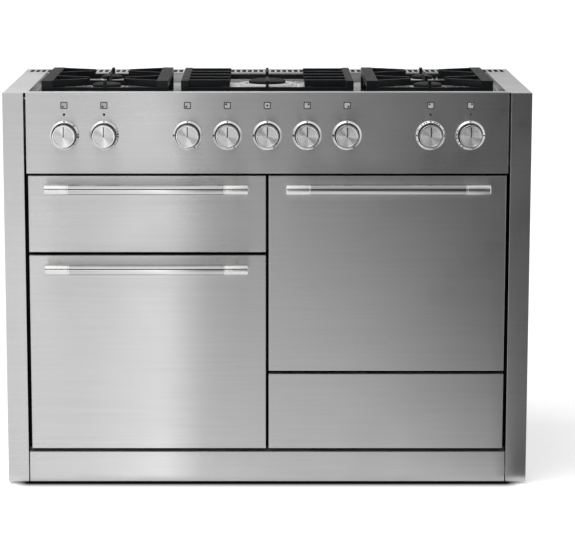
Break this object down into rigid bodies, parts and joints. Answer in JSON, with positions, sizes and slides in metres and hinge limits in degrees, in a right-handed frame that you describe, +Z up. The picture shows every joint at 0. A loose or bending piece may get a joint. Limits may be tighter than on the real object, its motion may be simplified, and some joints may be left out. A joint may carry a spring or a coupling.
{
  "type": "dual fuel range cooker",
  "caption": "Wide stainless range cooker with gas hob and cast pan supports, grill and two drop-down ovens, storage drawer and turning knobs.",
  "frame": {"origin": "on the floor, under the middle of the overall box", "axes": "+X to the right seen from the front, fronts face -Y, +Z up"},
  "size_m": [1.215, 0.687, 0.945],
  "materials": {
    "stainless": "brushed stainless steel, fine horizontal grain",
    "polished_steel": "polished stainless steel",
    "chrome": "bright chrome plate",
    "galvanised": "galvanised sheet steel",
    "black_enamel": "gloss vitreous enamel",
    "cast_iron": "satin black enamelled cast iron",
    "burner_alloy": "bead-blasted aluminium",
    "brass": "machined brass",
    "red_lens": "dark red lens",
    "ceramic": "glazed white ceramic",
    "black_plastic": "moulded black plastic",
    "seal": "woven heat-proof seal",
    "wire_chrome": "plated wire"
  },
  "bodies": {
    "cooker": {"base_frame": "galvanised", "levelling_feet": "galvanised", "left_side_panel": "stainless", "right_side_panel": "stainless", "back_panel": "galvanised", "plinth_panel": "stainless", "front_frame": "black_enamel", "hob_deck": "polished_steel", "vent_grille": "stainless", "control_fascia": "stainless", "knob_bezels": "chrome", "indicator_lamps": "red_lens", "control_units": "black_plastic", "gas_pipework": "brass", "burner_heads": "burner_alloy", "burner_caps": "black_enamel", "igniters": "ceramic", "door_hinge_brackets": "galvanised", "door_seals": "seal", "grill_cavity": "black_enamel", "grill_pan": "black_enamel", "left_oven_cavity": "black_enamel", "right_oven_cavity": "black_enamel", "fan_covers": "black_enamel", "fan_motors": "galvanised", "oven_racks": "wire_chrome", "heating_elements": "galvanised", "drawer_runners_fixed": "galvanised", "terminal_box": "galvanised"},
    "grill_door": {"grill_door_panel": "stainless", "grill_door_liner": "black_enamel", "grill_door_handle": "chrome"},
    "left_oven_door": {"left_oven_door_panel": "stainless", "left_oven_door_liner": "black_enamel", "left_oven_door_handle": "chrome"},
    "right_oven_door": {"right_oven_door_panel": "stainless", "right_oven_door_liner": "black_enamel", "right_oven_door_handle": "chrome"},
    "drawer": {"drawer_front": "stainless", "drawer_box": "galvanised"},
    "drawer_runners": {"drawer_runners_middle": "galvanised"},
    "left_pan_support": {"left_pan_support": "cast_iron"},
    "centre_pan_support": {"centre_pan_support": "cast_iron"},
    "right_pan_support": {"right_pan_support": "cast_iron"},
    "left_oven_fan": {"left_oven_fan": "galvanised"},
    "right_oven_fan": {"right_oven_fan": "galvanised"},
    "knob_grill": {"knob_grill": "chrome"},
    "knob_left_oven": {"knob_left_oven": "chrome"},
    "knob_right_oven_function": {"knob_right_oven_function": "chrome"},
    "knob_right_oven_heat": {"knob_right_oven_heat": "chrome"},
    "spindle_left_front_burner": {"spindle_left_front_burner": "galvanised"},
    "knob_left_front_burner": {"knob_left_front_burner": "chrome"},
    "spindle_left_rear_burner": {"spindle_left_rear_burner": "galvanised"},
    "knob_left_rear_burner": {"knob_left_rear_burner": "chrome"},
    "spindle_centre_burner": {"spindle_centre_burner": "galvanised"},
    "knob_centre_burner": {"knob_centre_burner": "chrome"},
    "spindle_right_rear_burner": {"spindle_right_rear_burner": "galvanised"},
    "knob_right_rear_burner": {"knob_right_rear_burner": "chrome"},
    "spindle_right_front_burner": {"spindle_right_front_burner": "galvanised"},
    "knob_right_front_burner": {"knob_right_front_burner": "chrome"}
  },
  "joints": [
    {"name": "grill_door_hinge", "type": "hinge", "parent": "cooker", "child": "grill_door", "pos_m": [-0.27713, -0.2715, 0.58], "axis": [1, 0, 0], "range_deg": [0, 90]},
    {"name": "left_oven_door_hinge", "type": "hinge", "parent": "cooker", "child": "left_oven_door", "pos_m": [-0.27713, -0.2715, 0.114], "axis": [1, 0, 0], "range_deg": [0, 90]},
    {"name": "right_oven_door_hinge", "type": "hinge", "parent": "cooker", "child": "right_oven_door", "pos_m": [0.27713, -0.2715, 0.2995], "axis": [1, 0, 0], "range_deg": [0, 90]},
    {"name": "drawer_slide", "type": "slide", "parent": "cooker", "child": "drawer", "axis": [0, -1, 0], "range_m": [0, 0.35]},
    {"name": "drawer_runner_slide", "type": "slide", "parent": "cooker", "child": "drawer_runners", "axis": [0, -1, 0], "range_m": [0, 0.175]},
    {"name": "left_pan_support_lift", "type": "slide", "parent": "cooker", "child": "left_pan_support", "axis": [0, 0, 1], "range_m": [0, 0.15]},
    {"name": "centre_pan_support_lift", "type": "slide", "parent": "cooker", "child": "centre_pan_support", "axis": [0, 0, 1], "range_m": [0, 0.15]},
    {"name": "right_pan_support_lift", "type": "slide", "parent": "cooker", "child": "right_pan_support", "axis": [0, 0, 1], "range_m": [0, 0.15]},
    {"name": "left_oven_fan_spin", "type": "hinge", "parent": "cooker", "child": "left_oven_fan", "pos_m": [-0.27713, 0.1815, 0.33], "axis": [0, -1, 0], "continuous": true},
    {"name": "right_oven_fan_spin", "type": "hinge", "parent": "cooker", "child": "right_oven_fan", "pos_m": [0.27713, 0.1815, 0.5155], "axis": [0, -1, 0], "continuous": true},
    {"name": "knob_grill_turn", "type": "hinge", "parent": "cooker", "child": "knob_grill", "pos_m": [-0.466, -0.2915, 0.8237], "axis": [0, -1, 0], "range_deg": [-200, 0]},
    {"name": "knob_left_oven_turn", "type": "hinge", "parent": "cooker", "child": "knob_left_oven", "pos_m": [-0.3745, -0.2915, 0.8237], "axis": [0, -1, 0], "range_deg": [-200, 0]},
    {"name": "knob_right_oven_function_turn", "type": "hinge", "parent": "cooker", "child": "knob_right_oven_function", "pos_m": [0.3745, -0.2915, 0.8237], "axis": [0, -1, 0], "range_deg": [-315, 0]},
    {"name": "knob_right_oven_heat_turn", "type": "hinge", "parent": "cooker", "child": "knob_right_oven_heat", "pos_m": [0.466, -0.2915, 0.8237], "axis": [0, -1, 0], "range_deg": [-285, 0]},
    {"name": "knob_left_front_burner_turn", "type": "hinge", "parent": "cooker", "child": "spindle_left_front_burner", "pos_m": [-0.183, -0.2915, 0.8237], "axis": [0, -1, 0], "range_deg": [0, 210]},
    {"name": "knob_left_front_burner_push", "type": "slide", "parent": "spindle_left_front_burner", "child": "knob_left_front_burner", "axis": [0, 1, 0], "range_m": [0, 0.004], "stiffness_N_per_m": 600, "springref_m": -0.002},
    {"name": "knob_left_rear_burner_turn", "type": "hinge", "parent": "cooker", "child": "spindle_left_rear_burner", "pos_m": [-0.0915, -0.2915, 0.8237], "axis": [0, -1, 0], "range_deg": [0, 210]},
    {"name": "knob_left_rear_burner_push", "type": "slide", "parent": "spindle_left_rear_burner", "child": "knob_left_rear_burner", "axis": [0, 1, 0], "range_m": [0, 0.004], "stiffness_N_per_m": 600, "springref_m": -0.002},
    {"name": "knob_centre_burner_turn", "type": "hinge", "parent": "cooker", "child": "spindle_centre_burner", "pos_m": [0, -0.2915, 0.8237], "axis": [0, -1, 0], "range_deg": [0, 210]},
    {"name": "knob_centre_burner_push", "type": "slide", "parent": "spindle_centre_burner", "child": "knob_centre_burner", "axis": [0, 1, 0], "range_m": [0, 0.004], "stiffness_N_per_m": 600, "springref_m": -0.002},
    {"name": "knob_right_rear_burner_turn", "type": "hinge", "parent": "cooker", "child": "spindle_right_rear_burner", "pos_m": [0.0915, -0.2915, 0.8237], "axis": [0, -1, 0], "range_deg": [0, 210]},
    {"name": "knob_right_rear_burner_push", "type": "slide", "parent": "spindle_right_rear_burner", "child": "knob_right_rear_burner", "axis": [0, 1, 0], "range_m": [0, 0.004], "stiffness_N_per_m": 600, "springref_m": -0.002},
    {"name": "knob_right_front_burner_turn", "type": "hinge", "parent": "cooker", "child": "spindle_right_front_burner", "pos_m": [0.183, -0.2915, 0.8237], "axis": [0, -1, 0], "range_deg": [0, 210]},
    {"name": "knob_right_front_burner_push", "type": "slide", "parent": "spindle_right_front_burner", "child": "knob_right_front_burner", "axis": [0, 1, 0], "range_m": [0, 0.004], "stiffness_N_per_m": 600, "springref_m": -0.002}
  ],
  "couplings": [
    {"joint": "drawer_runner_slide", "follows": "drawer_slide", "ratio": 0.5}
  ]
}
